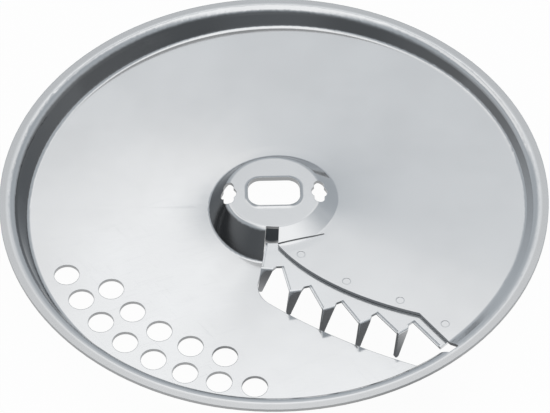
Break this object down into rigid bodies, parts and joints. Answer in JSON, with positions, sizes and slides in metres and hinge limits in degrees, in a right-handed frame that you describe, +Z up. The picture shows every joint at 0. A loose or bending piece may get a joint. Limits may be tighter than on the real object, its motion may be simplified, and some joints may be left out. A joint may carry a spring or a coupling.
{
  "type": "food processor cutting disc",
  "caption": "Round pressed steel disc that cuts strips: dished rim, spiral ramp floor, raised hub with an oblong drive slot, round holes and a toothed blade with tines under the high edge.",
  "frame": {"origin": "on the disc's axis, at the height of the tine tips", "axes": "+Z up along the axis towards the flange, +X to the right and +Y away from the cutting opening, which lies towards -Y and +X"},
  "size_m": [0.145, 0.145, 0.0124],
  "materials": {
    "plate_steel": "satin pressed stainless sheet",
    "blade_steel": "bright rolled stainless strip with ground edges"
  },
  "bodies": {
    "root": {"disc_plate": "plate_steel", "cutter_blade": "blade_steel"}
  },
  "joints": []
}
